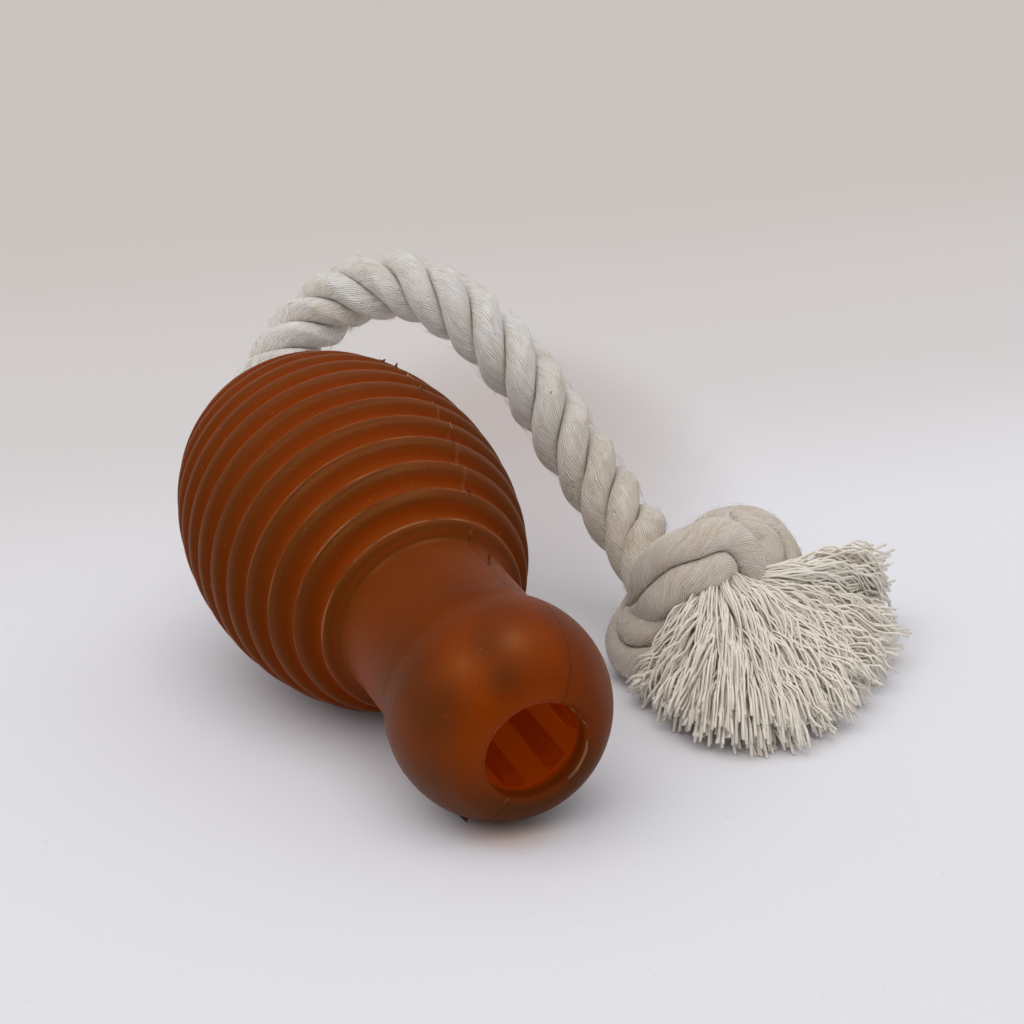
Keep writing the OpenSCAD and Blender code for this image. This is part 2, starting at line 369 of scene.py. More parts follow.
AROUND = 30
STRAND_AT = 0.52
STRAND_HIGH = 0.48
STRAND_WIDE = 0.56
CROWN = 0.20
SQUEEZE = math.tan(math.radians(59.2))


def strand_outline(rope_r):
    """One strand's outline, [outwards, sideways] from the rope's middle, pressed flat
    where it meets its neighbours"""
    made = []
    for j in range(AROUND + 1):
        t = 2 * math.pi * j / AROUND + math.pi
        out = rope_r * (STRAND_AT + STRAND_HIGH * math.cos(t))
        wide = rope_r * STRAND_WIDE * math.sin(t) * (1 - CROWN * max(math.cos(t), 0.0))
        limit = max(out, 0.0) * SQUEEZE
        made.append(Vector((out, math.copysign(min(abs(wide), limit), wide), 0.0)))
    return made, running(made)


def laid_rope(name, line, first_side, turn_at, material, start=0, stop=None, swell=None, ends=None):
    """Three strands along part of a line. turn_at(s) is the strands' turn at a length s"""
    rubber, rope, _ = settings()
    rope_r = rope.rope_d / 2
    ways, side = sides(line, first_side)
    run = running(line)
    stop = len(line) - 1 if stop is None else stop
    outline, round_it = strand_outline(rope_r)
    bm = bmesh.new()
    layer = bm.loops.layers.uv.new("yarns")
    for strand in range(3):
        centre_run = [0.0]
        last = None
        for i in range(start, stop + 1):
            turn = turn_at(run[i]) + strand * 2 * math.pi / 3
            out = math.cos(turn) * side[i] + math.sin(turn) * ways[i].cross(side[i])
            centre = line[i] + out * rope_r * STRAND_AT
            if last is not None:
                centre_run.append(centre_run[-1] + (centre - last).length)
            last = centre

        def place(i, j, strand=strand):
            k = start + i
            turn = turn_at(run[k]) + strand * 2 * math.pi / 3
            up = ways[k].cross(side[k])
            out = math.cos(turn) * side[k] + math.sin(turn) * up
            across = -math.sin(turn) * side[k] + math.cos(turn) * up
            a, b, _ = outline[j]
            grow = 1.0 + 0.03 * noise.noise(Vector((run[k] * 90, strand * 7.3, 0.5 * math.sin(j * 0.5))))
            if swell:
                grow *= swell(run[k])
            return line[k] + out * a * grow + across * b * grow

        def uv_of(i, j, centre_run=centre_run, strand=strand):
            length = centre_run[i] / MM
            share = round_it[j] / round_it[-1]
            return (rope.yarns * (share + length / rope.yarn_lay / 1000) + 100 * strand, length / 10 + 31 * strand)

        verts, rims = wrapped_grid(bm, stop - start, AROUND, place, uv_of, layer)
        close_tube(bm, verts, rims)
    bmesh.ops.recalc_face_normals(bm, faces=bm.faces)
    return piece(name, bm, material)


RUN_LEN = 0.1584


def lay_turn(s):
    """Turn of the strands along the free rope: a right-hand lay, tighter at the body"""
    _, rope, _ = settings()
    loosening = (1 / rope.lay - 1 / rope.tight_lay) / (2 * RUN_LEN)
    return 2 * math.pi * (s / rope.tight_lay + loosening * s * s) + math.radians(60)


def free_line():
    """The whole free rope, from the rear face to where it frays"""
    rope_r = settings()[1].rope_d / 2
    places = [EXIT, EXIT + OUT * rope_r / 2] + [Vector(p) * MM for p in RUN_PLACES]
    knot = [Vector(p) * MM for p in KNOT_PLACES]
    whole = smooth_line(places + knot, 0.6 * MM)
    end = Vector(RUN_PLACES[-1]) * MM
    joint = min(range(len(whole)), key=lambda i: (whole[i] - end).length if i < len(whole) * 0.7 else 9.0)
    return whole, joint


# Where the strands lie in the outer knot, as [length past its start in mm, turn in degrees]
KNOT_TURNS = [
    (0, 0), (38, 314), (43, 342), (50, 350), (56, 372), (77, 429), (85, 430), (90, 439), (132, 440), (170, 540),
]


def between(stops, x):
    """A value read off between stops of [place, value]"""
    for (a, f), (b, g) in zip(stops, stops[1:]):
        if x <= b:
            return f + (g - f) * max(0.0, (x - a) / (b - a))
    return stops[-1][1]


def knot_turn(s, at):
    """Turn of the strands along the whole rope: in the outer knot the lay opens"""
    if s <= at:
        return lay_turn(s)
    past = (s - at) / MM
    near = [past + step for step in (-4, -2, 0, 2, 4)]
    turns = [between(KNOT_TURNS, x) if x > 0 else 9.74 * x for x in near]
    return lay_turn(at) + math.radians(sum(turns) / len(turns))


# ---- finishes


def cotton_finish():
    """Laid cotton: fine slanting yarns of slightly different greys, fuzz, dark flecks, painted shade in the creases
    between yarns and low down towards the knot
    """
    c = colours()
    mat = Finish("cotton_rope")
    uv = mat.node("ShaderNodeUVMap", {"uv_map": "yarns"})
    yarn, length, _ = mat.parts(uv)
    place = mat.object_place()
    wobble = mat.noise(place, 260.0, 3.0)
    phase = yarn + (wobble - 0.5) * 2.6
    ridge = (phase * (2 * math.pi)).sin() * 0.5 + 0.5
    own = mat.node("ShaderNodeTexWhiteNoise", {"noise_dimensions": "1D"}, {"W": (phase + 0.25).floor()})
    streak = mat.noise(mat.joined(phase * 0.55, length * 1.5), 1.0, 4.0)
    fibre = mat.noise(mat.joined(phase * 2.2, length * 5.0), 1.0, 4.0, 0.65)
    patch = mat.noise(place, 120.0, 4.0, 0.6)
    base = mat.blend(patch.rise(0.42, 0.66) * 0.8, c.cotton, [c.cotton[0] * 0.93, c.cotton[1] * 0.89, c.cotton[2] * 0.82])
    # painted shade: the rope is made darker and warmer low down, towards the knot
    low = mat.parts(place)[2].rise(0.064, 0.022) * mat.parts(place)[1].rise(0.030, 0.050)
    base = mat.blend(low * 0.75, base, (0.80, 0.72, 0.62), "MULTIPLY")
    base = mat.blend(own * 0.10, base, (0.70, 0.62, 0.51))
    base = mat.blend(fibre.rise(0.52, 0.28) * 0.22, base, (0.58, 0.49, 0.38))
    base = mat.blend(patch.rise(0.58, 0.78) * 0.35, base, (0.58, 0.48, 0.36))
    # painted shade in the creases between the yarns
    crease_shade = (1 - ridge).rise(0.45, 1.0) * (0.35 + 0.65 * streak.rise(0.36, 0.62))
    base = mat.blend(crease_shade * 0.75, base, (0.40, 0.32, 0.24))
    wear = mat.noise(mat.joined(phase * 0.9, length * 3.2), 1.0, 5.0, 0.75)
    base = mat.blend(wear.rise(0.56, 0.70) * 0.35, base, (0.50, 0.41, 0.31))
    base = mat.blend(wear.rise(0.44, 0.30) * 0.55, base, (1.0, 0.985, 0.96))
    fleck = mat.noise(place, 900.0, 1.0).rise(0.76, 0.80)
    base = mat.blend(fleck * 0.7, base, (0.12, 0.10, 0.08))
    stain = mat.node(
        "ShaderNodeVectorMath", {"operation": "DISTANCE"}, {0: place, 1: (-0.0735, 0.0470, 0.0745)}, 1
    )
    stain = (1 - (stain + (wobble - 0.5) * 0.004).rise(0.0006, 0.0026)) * 0.5
    base = mat.blend(stain, base, (0.62, 0.25, 0.27))
    mat.set(Base_Color=base, Roughness=0.95)
    mat.set(Sheen_Weight=0.15, Sheen_Roughness=0.5, Specular_IOR_Level=0.15)
    mat.set(Subsurface_Weight=0.35, Subsurface_Scale=0.0020)
    mat.shader.inputs["Subsurface Radius"].default_value = (1.0, 0.8, 0.6)
    mat.bump(ridge * 0.45 + streak * 0.6 + fibre * 1.1 + own * 0.35 - wear * 0.7, 0.9, 0.00045)
    return mat.material


def yarn_finish():
    """Loose cotton yarns, each a little different, with their ply's slanting lines painted as light on the crests and
    shade in the grooves
    """
    c = colours()
    mat = Finish("cotton_yarn")
    uv = mat.node("ShaderNodeUVMap", {"uv_map": "yarns"})
    around, length, _ = mat.parts(uv)
    tone = mat.node("ShaderNodeAttribute", {"attribute_name": "tone"}, output=2)
    place = mat.object_place()
    ply = ((around * 2 + length * 34) * (2 * math.pi)).sin() * 0.5 + 0.5
    grain = mat.noise(place, 1500.0, 2.0)
    dark = [c.yarn[0] * 0.60, c.yarn[1] * 0.52, c.yarn[2] * 0.42]
    base = mat.blend(tone.rise(-0.1, 0.75), dark, c.yarn)
    # painted light and shade: the ply's crests lighter, its grooves darker
    base = mat.blend(ply * 0.25, base, (1.0, 0.94, 0.83))
    base = mat.blend((1 - ply).rise(0.6, 1.0) * 0.25, base, (0.55, 0.45, 0.32))
    base = mat.blend(grain.rise(0.72, 0.8) * 0.4, base, (0.25, 0.20, 0.14))
    mat.set(Base_Color=base, Roughness=0.9)
    mat.set(Sheen_Weight=0.05, Sheen_Roughness=0.5, Specular_IOR_Level=0.12)
    mat.set(Subsurface_Weight=0.15, Subsurface_Scale=0.0015)
    mat.shader.inputs["Subsurface Radius"].default_value = (1.0, 0.75, 0.5)
    mat.bump(ply * 0.7 + grain * 0.3, 0.5, 0.0001)
    return mat.material


def rubber_finish():
    """Translucent amber rubber: satin crests with painted sheen and a painted highlight on their far
    edge, grooves with painted glow, painted shade on the sides, a mouth painted glowing by emission, a mould seam and
    dust"""
    c = colours()
    mat = Finish("natural_rubber")
    place = mat.object_place()
    own = mat.node(
        "ShaderNodeMapping", {"vector_type": "TEXTURE"},
        {"Vector": place, "Location": tuple(MOUTH), "Rotation": (0.0, math.pi / 2 + LEAN, 0.0)},
    )
    x, y, z = mat.parts(own)
    count = mat.node("ShaderNodeAttribute", {"attribute_name": "rib"}, output=2)
    inner = mat.node("ShaderNodeAttribute", {"attribute_name": "inner"}, output=2)
    cloud = mat.noise(place, 26.0, 3.0)
    wisp = mat.noise(place, 140.0, 3.0)
    ripple = mat.noise(mat.joined(x * 12, y * 12, z * 12), 1.0, 2.0)
    ribbed = count.rise(0.10, 0.30) * (1 - count.rise(12.75, 12.95))
    at = (count + (ripple - 0.5) * 0.05).fraction()
    groove = ((1 - at.rise(0.12, 0.42)) + at.rise(0.76, 0.82)) * ribbed
    # painted highlight: a pale line along each rib's far edge
    edge = at.rise(0.66, 0.71) * (1 - at.rise(0.72, 0.77)) * ribbed
    ball = z.rise(-0.040, -0.026) * (1 - inner)
    # painted light: lit marks the upper left side of the ball end, and glow the orange light through the rubber near
    # the mouth
    lit = (x * -0.045 + y * -0.075) * 1000 + (cloud - 0.5) * 1.6
    glow = z.rise(-0.022, -0.008) * lit.rise(-0.15, 0.75) * (1 - inner)
    # painted shade: darker on the lower half of the ball end and on its unlit side
    lower_shade = z.rise(-0.026, -0.006) * (x.rise(-0.004, 0.013) + 0.35 * lit.rise(0.0, -0.8)).least(1.0) * (1 - inner)
    # painted shade: dark patches on the ball end
    shade_patches = mat.noise(place, 62.0, 1.0).rise(0.46, 0.68) * ball
    r, g, b = c.rubber
    base = mat.blend(cloud.rise(0.35, 0.70) * 0.6, (r, g, b), (r * 1.05, g * 0.80, b * 0.5))
    # painted sheen: the crests are greyer than the rubber, and greyer still on the upper side, where the light from
    # above falls
    top = x.rise(-0.006, -0.026)
    satin = mat.noise(mat.joined(count * 7, y * 70, x * 70), 1.0, 2.0)
    crest_sheen = mat.blend(top, (r * 0.74, g * 0.86, b * 0.8), (r * 0.88, g * 1.10, b * 2.2))
    crest_sheen = mat.blend(satin.rise(0.38, 0.66) * 0.4, crest_sheen, (r * 0.62, g * 0.66, b * 1.2))
    base = mat.blend(ribbed * (1 - groove) * 0.9, base, crest_sheen)
    # painted glow: the grooves are made redder and brighter, as if lit through the rubber
    base = mat.blend(groove * 0.95, base, (r * 1.15, g * 0.76, b * 0.10))
    # painted shade: the ribs darken towards their right and left sides
    base = mat.blend(ribbed * y.rise(0.006, 0.030) * 0.55, base, (0.052, 0.0165, 0.002))
    base = mat.blend(ribbed * y.rise(-0.014, -0.034) * 0.40, base, (0.070, 0.020, 0.002))
    base = mat.blend(ball * 0.8, base, (r * 0.92, g * 0.74, b * 0.25))
    # painted glow near the mouth, on the lit side
    base = mat.blend(glow * 0.9, base, (r * 1.50, g * 1.15, b * 0.08))
    # painted shade in dark patches on the ball end
    base = mat.blend(shade_patches * 0.30, base, (0.080, 0.016, 0.005))
    # painted shade: three soft dark spots between the ball's highlights
    for spot, size, depth in (
        ((0.0619, -0.0069, 0.0388), 0.0070, 0.50),
        ((0.0673, -0.0067, 0.0340), 0.0052, 0.50),
        ((0.0625, -0.0168, 0.0280), 0.0085, 0.36),
    ):
        far = mat.node("ShaderNodeVectorMath", {"operation": "DISTANCE"}, {0: place, 1: spot}, 1) + (wisp - 0.5) * 0.002
        base = mat.blend((1 - far.rise(0.0, size)) * depth * ball, base, (0.072, 0.0145, 0.0048))
    # painted shade: the left side of the ball end is darker
    base = mat.blend(ball * y.rise(-0.010, -0.021) * 0.55, base, (0.070, 0.024, 0.007))
    # painted shade on the lower and unlit side of the ball end
    base = mat.blend(lower_shade * 0.80, base, (0.060, 0.021, 0.006))
    # painted highlight on the ribs' far edges
    base = mat.blend(edge * (0.05 + 0.75 * wisp.rise(0.38, 0.62)), base, (0.32, 0.140, 0.060))
    base = mat.blend(inner * 0.9, base, (r * 1.1, g * 0.55, 0.0004))
    base = mat.blend(inner * z.rise(-0.0042, -0.0015) * 0.7, base, (0.050, 0.017, 0.002))
    seam = x * math.sin(SEAM) + y * math.cos(SEAM) + (wisp - 0.5) * 0.0012
    line = (1 - seam.abs().rise(0.00008, 0.00060)) * (1 - inner)
    base = mat.blend(line * (1 - ribbed) * 0.38, base, (0.060, 0.014, 0.004))
    base = mat.blend(line * ribbed * wisp.rise(0.50, 0.62) * 0.25, base, (0.34, 0.15, 0.06))
    speck = mat.noise(place, 2100.0, 0.0).rise(0.825, 0.86)
    base = mat.blend(speck * 0.30 * (1 - inner), base, (0.45, 0.26, 0.15))
    crack = 0.0
    for rib, from_y, to_y in ((1.60, -0.024, 0.003), (2.52, -0.020, -0.002), (3.58, -0.026, -0.008), (6.55, 0.0, 0.014)):
        near = (count - rib - (y - from_y) * 4 - (ripple - 0.5) * 0.06).abs()
        crack = (1 - near.rise(0.004, 0.020)) * y.rise(from_y, from_y + 0.004) * y.rise(to_y, to_y - 0.004) + crack
    crack = crack * x.rise(0.0, -0.004)
    base = mat.blend(crack * 0.85, base, (0.030, 0.009, 0.004))
    grain = mat.noise(place, 620.0, 3.0)
    rough = 0.34 + grain * 0.10 + ribbed * (0.10 + 0.25 * groove) + cloud * 0.06
    fin = mat.node("ShaderNodeAttribute", {"attribute_name": "fin"}, output=2)
    # painted glow: the mouth's inside is given emission, less on the fins, as light through the walls
    inner_glow = mat.blend(fin.rise(0.15, 0.45), (0.125, 0.0165, 0.0002), (0.060, 0.0050, 0.0001))
    inner_glow = mat.blend(cloud.rise(0.40, 0.62) * 0.35, inner_glow, (0.075, 0.0070, 0.0001))
    # painted glow: emission in the grooves on the upper left of the bulb
    shine = mat.blend(groove * x.rise(0.010, -0.030) * y.rise(0.026, -0.006), (0.0, 0.0, 0.0), (0.040, 0.0052, 0.0))
    # painted glow in the mouth, fading at the lip
    shine = mat.blend(inner * z.rise(-0.075, -0.012) * (1 - 0.85 * z.rise(-0.0042, -0.0015)), shine, inner_glow)
    mat.set(Base_Color=base, Roughness=rough, Emission_Color=shine)
    mat.set(Emission_Strength=1.0, Subsurface_Weight=1.0, Subsurface_Scale=0.005, IOR=1.45, Specular_IOR_Level=0.12)
    mat.shader.inputs["Subsurface Radius"].default_value = (1.0, 0.25, 0.06)
    mat.shader.inputs["Specular Tint"].default_value = (1.0, 0.62, 0.24, 1.0)
    mat.bump(grain * 0.4 + wisp * 0.6 + line * 1.2 + edge * 0.4 - crack * 1.2, 0.35, 0.00018)
    return mat.material


def flash_finish():
    """Thin torn flash of the mould seam, paler than the body"""
    mat = Finish("rubber_flash")
    place = mat.object_place()
    wisp = mat.noise(place, 500.0, 3.0)
    y = mat.parts(place)[1]
    pale = mat.blend(wisp, (0.50, 0.29, 0.13), (0.72, 0.50, 0.28))
    base = mat.blend(y.rise(-0.004, -0.010), pale, (0.10, 0.030, 0.008))
    mat.set(Base_Color=base, Roughness=0.55)
    mat.bump(wisp, 0.3, 0.0001)
    return mat.material


def paper_finish():
    """Pale paper with painted shade that makes it a little warmer and darker far behind the toy"""
    c = colours()
    mat = Finish("paper_floor")
    place = mat.object_place()
    x, y, z = mat.parts(place)
    behind = x * -0.9 + y * 0.435
    right = x * 0.435 + y * 0.9
    # painted shade: the paper grows warmer and darker far behind the toy
    far_shade = behind - right * 0.38 + (mat.noise(place, 3.0, 2.0) - 0.5) * 0.10
    fibre = mat.noise(place, 900.0, 3.0)
    mottle = mat.noise(place, 18.0, 4.0)
    base = mat.blend(mottle * 0.5, c.paper, [v * 0.96 for v in c.paper])
    # painted shade far behind the toy
    base = mat.blend(far_shade.rise(0.06, 0.24) * 0.75, base, (0.665, 0.618, 0.592))
    base = mat.blend(far_shade.rise(0.20, 0.60) * 0.9, base, (0.625, 0.578, 0.535))
    # a soft shade under the rope's arch
    along = ((x + 0.145) * -0.92 + (y - 0.100) * 0.39) / 0.14
    across = ((x + 0.145) * 0.39 + (y - 0.100) * 0.92) / 0.055
    shade = (along * along + across * across).rise(1.4, 0.0)
    base = mat.blend(shade, base, (0.78, 0.73, 0.705), "MULTIPLY")
    # painted glow: a warm tint of light through the rubber on the floor under the ball
    glow = mat.node("ShaderNodeVectorMath", {"operation": "DISTANCE"}, {0: place, 1: (0.059, -0.002, 0.0)}, 1)
    base = mat.blend((1 - glow.rise(0.002, 0.013)) * 0.45, base, (0.70, 0.34, 0.15))
    base = mat.blend(mat.noise(place, 700.0, 0.0).rise(0.82, 0.86) * 0.18, base, (0.45, 0.42, 0.40))
    mat.set(Base_Color=base, Roughness=0.9)
    mat.set(Specular_IOR_Level=0.15)
    mat.bump(fibre * 0.7 + mottle * 0.3, 0.15, 0.0003)
    return mat.material


# ---- the rubber body's section, as [radius, height] with the mouth at height 0


def ease(low, high, x):
    x = max(0.0, min(1.0, (x - low) / (high - low)))
    return x * x * (3 - 2 * x)


def rib_rise(x):
    """Height of a rib over a groove's floor, as a share, at a share of the pitch: it
    rises slowly and falls off sooner on the side of the rear"""
    return ease(0.03, 0.45, x) * (1 - ease(0.64, 0.95, x))


def body_section():
    """Outer and inner points, each with its place in ribs counted from the neck, and
    how far it is inside"""
    rubber, rope, _ = settings()
    bulb_r, neck_r, ball_r = rubber.bulb_d / 2, rubber.neck_d / 2, rubber.ball_d / 2
    mouth_r, rope_r = rubber.mouth_d / 2, rope.rope_d / 2
    hole_r = rope_r + 0.08 * MM
    length = rubber.body_len
    bulb_at = length * 0.66
    rear_half = length - bulb_at
    tail_len = rear_half * 1.12
    shoulder, ball_at, ball_len, nose_from = 0.050, 0.016, 0.021, math.radians(42)
    mouth_round, lip, channel_r, wall, rear_wall = 0.8 * MM, 4 * MM, 12.5 * MM, 6.5 * MM, 8 * MM
    rear_round, pitch, start, rib_h = 3 * MM, 6.8 * MM, 0.5 * MM, rubber.rib_h
    section = []

    def add(r, z, rib=0.0, inner=0.0):
        section.append((r, z, rib, inner))

    n = Vector((math.cos(nose_from) / ball_r, math.sin(nose_from) / ball_len)).normalized()
    tip = Vector((ball_r * math.cos(nose_from), ball_len * math.sin(nose_from) - ball_at))
    nose_r = -tip.y / (1 - n.y)
    centre = tip - nose_r * n
    top = 90.0
    if mouth_r + mouth_round > centre.x:
        top = math.degrees(math.acos((mouth_r + mouth_round - centre.x) / nose_r))
    nose_top = centre.y + nose_r * math.sin(math.radians(top))
    for i in range(6):
        t = math.radians(180 - 90 * i / 6)
        add(mouth_r + mouth_round * (1 + math.cos(t)), nose_top - mouth_round * (1 - math.sin(t)), 0.0, 0.3)
    low = math.degrees(math.atan2(n.y, n.x))
    for i in range(15):
        t = math.radians(top + (low - top) * i / 14)
        add(centre.x + nose_r * math.cos(t), centre.y + nose_r * math.sin(t))
    for i in range(1, 17):
        t = nose_from * (1 - i / 16)
        add(ball_r * math.cos(t), ball_len * math.sin(t) - ball_at)

    def half(d, reach, r):
        return 0.0 if abs(d) >= reach else r * math.sqrt(1 - (d / reach) ** 2)

    groove_r, groove_half = bulb_r - rib_h, shoulder - rib_h
    shoulder_z = groove_half * math.sqrt(1 - (neck_r / groove_r) ** 2) - bulb_at

    def soft_max(radii):
        return sum((r / neck_r) ** 20 for r in radii) ** 0.05 * neck_r

    for i in range(1, 41):
        z = -ball_at - (-ball_at - shoulder_z) * i / 40
        add(soft_max([half(z + ball_at, ball_len, ball_r), neck_r, half(z + bulb_at, groove_half, groove_r)]), z)
    a, b = math.acos(neck_r / bulb_r), -math.asin((rear_half - rear_round) / tail_len)

    def bulb_point(t):
        return Vector((bulb_r * math.cos(t), (shoulder if t > 0 else tail_len) * math.sin(t) - bulb_at))

    def bulb_normal(t):
        return Vector((math.cos(t) / bulb_r, math.sin(t) / (shoulder if t > 0 else tail_len))).normalized()

    run, points = [0.0], [bulb_point(a)]
    for i in range(1, 601):
        points.append(bulb_point(a + (b - a) * i / 600))
        run.append(run[-1] + (points[-1] - points[-2]).length)

    def turn_at(s):
        k = next((i for i, v in enumerate(run) if v >= s), 600)
        k = max(k, 1)
        return a + (b - a) * (k - 1 + (s - run[k - 1]) / (run[k] - run[k - 1])) / 600

    ribs = min(rubber.rib_count, int((run[-1] - start) / pitch))
    steps = 16
    for i in range(1, ribs * steps + 1):
        s = start + pitch * i / steps
        t = turn_at(s)
        point = bulb_point(t) - rib_h * (1 - rib_rise(i / steps % 1)) * bulb_normal(t)
        if point.y < shoulder_z - 0.5 * MM:
            add(soft_max([neck_r, point.x]), point.y, i / steps)
    end = start + ribs * pitch
    for i in range(1, 7):
        s = end + (run[-1] - end) * i / 6
        t = turn_at(min(s, run[-1]))
        point = bulb_point(t) - rib_h * bulb_normal(t)
        add(point.x, point.y, ribs)
    edge = section[-1]
    for i in range(1, 8):
        t = math.radians(90 * i / 7)
        add(edge[0] - rear_round * (1 - math.cos(t)), edge[1] - (length + edge[1]) * math.sin(t), ribs)
    for i in range(1, 6):
        add(edge[0] - rear_round + (hole_r - edge[0] + rear_round) * i / 6, -length, ribs)
    add(hole_r, -length, ribs, 0.6)
    hollow_r = bulb_r - rib_h - wall
    front, rear = shoulder - rib_h - wall, rear_half - rear_wall
    shut, wide = -math.acos(hole_r / hollow_r), math.acos(channel_r / hollow_r)
    for i in range(1, 4):
        add(hole_r, -length + (rear * math.sin(shut) - bulb_at + length) * i / 4, ribs, 1.0)
    for i in range(37):
        t = shut + (wide - shut) * i / 36
        add(hollow_r * math.cos(t), (front if t > 0 else rear) * math.sin(t) - bulb_at, ribs, 1.0)
    channel_end = section[-1][1]
    for i in range(1, 25):
        add(channel_r, channel_end + (-lip - 2 * MM - channel_end) * i / 24, ribs, 1.0)
    for i in range(1, 5):
        t = math.radians(90 * i / 5)
        add(channel_r - MM * (1 - math.cos(t)), -lip - 2 * MM * (1 - math.sin(t)), ribs, 1.0)
    add(channel_r - 1.2 * MM, -lip, ribs, 1.0)
    add(mouth_r + 0.3 * MM, -lip + 0.1 * MM, ribs, 1.0)
    for i in range(1, 5):
        add(mouth_r, -lip + (nose_top - mouth_round + lip) * i / 5, ribs, 0.8)
    return section, channel_end, -lip - 3 * MM


def fin_rise(angle, count, width, radius):
    """How high a fin stands at an angle round the channel, 0 to 1"""
    pitch = 2 * math.pi / count
    off = abs((angle / pitch) % 1 - 0.5) * pitch * radius
    return max(0.0, min(1.0, (width / 2 - off) / (0.5 * MM) + 0.5))


# ---- one operator for each piece


class CHEWTOY_OT_rope(bpy.types.Operator):
    """Makes the free rope, the length in the rear wall and both knots"""

    bl_idname = "chewtoy.rope"
    bl_label = "Rope and knots"

    def execute(self, context):
        cotton = cotton_finish()
        line, joint = free_line()
        run = running(line)
        at = run[joint]
        first = Vector((0.0, 1.0, 0.0))

        def turn(s):
            return knot_turn(s, at)

        def full(s):
            return 1 + (FULL - 1) * min(1.0, s / (12 * MM))

        free = laid_rope("laid_rope", line, first, turn, cotton, 0, joint, full)
        knot = laid_rope("laid_end_knot", line, first, turn, cotton, joint, len(line) - 1, full)
        shank_len = 10.66 * MM
        shank = laid_rope(
            "laid_shank", smooth_line([EXIT - OUT * shank_len, EXIT], 0.8 * MM), first,
            lambda s: lay_turn(s - shank_len), cotton,
        )
        stopper = laid_rope("laid_stopper_knot", stopper_line(), first, lay_turn, cotton)
        sizes = settings()[1]
        dice = random.Random(11)
        ways, side = sides(line, first)
        roots = []
        for _ in range(sizes.hairs):
            i = dice.randrange(8, len(line) - 10)
            a = dice.uniform(0, 2 * math.pi)
            out = math.cos(a) * side[i] + math.sin(a) * ways[i].cross(side[i])
            deep = 0.5 + 0.5 * math.cos(3 * (a - turn(run[i])))
            roots.append((line[i] + out * sizes.rope_d / 2 * FULL * (0.86 + 0.14 * deep), ways[i], out))
        bm = bmesh.new()
        bm.loops.layers.uv.new("yarns")
        tone = bm.verts.layers.float.new("tone")
        loose_fibres(bm, tone, dice, sizes.hairs, roots, 2.0 * MM)
        fuzz = piece("rope_fuzz", bm, yarn_finish())
        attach(fuzz, "rope")
        for made, node in ((free, "rope_run"), (knot, "end_knot"), (shank, "rope_shank"), (stopper, "stopper_knot")):
            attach(made, "rope")
            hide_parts(node)
        context.scene["chew_toy_at"] = at
        return {"FINISHED"}


def stopper_line():
    """The way of the rope through the knot inside the bulb"""
    rope_r, mid = 7.5 * MM, (-125.339 + 17) * MM
    half_w, half_d, rise, lead, tail = 13 * MM, 11.96 * MM, 6.9 * MM, 17 * MM, 18 * MM
    places = []
    for i in range(33):
        k = i / 32
        if k < 0.2:
            e = k / 0.2
            e = e * e * (3 - 2 * e)
            p = (rope_r / 2 * e, 0.0, rope_r - lead + (rise + lead - rope_r) * k / 0.2)
        elif k > 0.8:
            e = (1 - k) / 0.2
            e = e * e * (3 - 2 * e)
            p = (-rope_r / 2 * e, 0.0, -rise + (tail - rope_r + rise) * (k - 0.8) / 0.2)
        else:
            j = (k - 0.2) / 0.6
            out = min(1.0, 5 * min(j, 1 - j))
            out = out * out * (3 - 2 * out)
            a = 3 * math.pi * j
            p = ((rope_r / 2 + (half_w - rope_r / 2) * out) * math.cos(a), half_d * out * math.sin(a), rise - 2 * rise * j)
        places.append(ON_AXIS @ (Vector(p) + Vector((0.0, 0.0, mid))))
    return smooth_line([ON_AXIS @ Vector((0.0, 0.0, -125.339 * MM))] + places, 0.8 * MM)


class CHEWTOY_OT_body(bpy.types.Operator):
    """Makes the rubber body by turning its section round the toy's axis"""

    bl_idname = "chewtoy.body"
    bl_label = "Rubber body"

    def execute(self, context):
        rubber = settings()[0]
        section, fins_from, fins_to = body_section()
        bm = bmesh.new()
        rib = bm.verts.layers.float.new("rib")
        inner = bm.verts.layers.float.new("inner")
        fin = bm.verts.layers.float.new("fin")
        verts = []
        for r, z, c, i in section:
            vert = bm.verts.new((r, 0.0, z))
            vert[rib], vert[inner] = c, i
            verts.append(vert)
        edges = [bm.edges.new((a, b)) for a, b in zip(verts, verts[1:] + verts[:1])]
        bmesh.ops.spin(
            bm, geom=verts + edges, cent=(0, 0, 0), axis=(0, 0, 1), angle=2 * math.pi,
            steps=rubber.turns, use_merge=True, use_duplicate=False,
        )
        for vert in bm.verts:
            r = math.hypot(vert.co.x, vert.co.y)
            if vert[inner] > 0.9 and fins_from - 3 * MM < vert.co.z < fins_to + 1 * MM and r < 12.6 * MM:
                ends = min(1.0, (fins_to + 1 * MM - vert.co.z) / MM, (vert.co.z - fins_from + 3 * MM) / (3 * MM))
                angle = math.atan2(vert.co.y, vert.co.x)
                rise = fin_rise(angle + math.pi / rubber.fin_count, rubber.fin_count, 4.2 * MM, 12 * MM) * max(0.0, ends)
                vert.co.xy *= (r - 2 * MM * rise) / r
                vert[fin] = rise
        bmesh.ops.transform(bm, matrix=ON_AXIS, verts=bm.verts)
        bmesh.ops.recalc_face_normals(bm, faces=bm.faces)
        body = piece("rubber_moulding", bm, rubber_finish())
        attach(body, "toy_body")
        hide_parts("rubber_body")
        return {"FINISHED"}


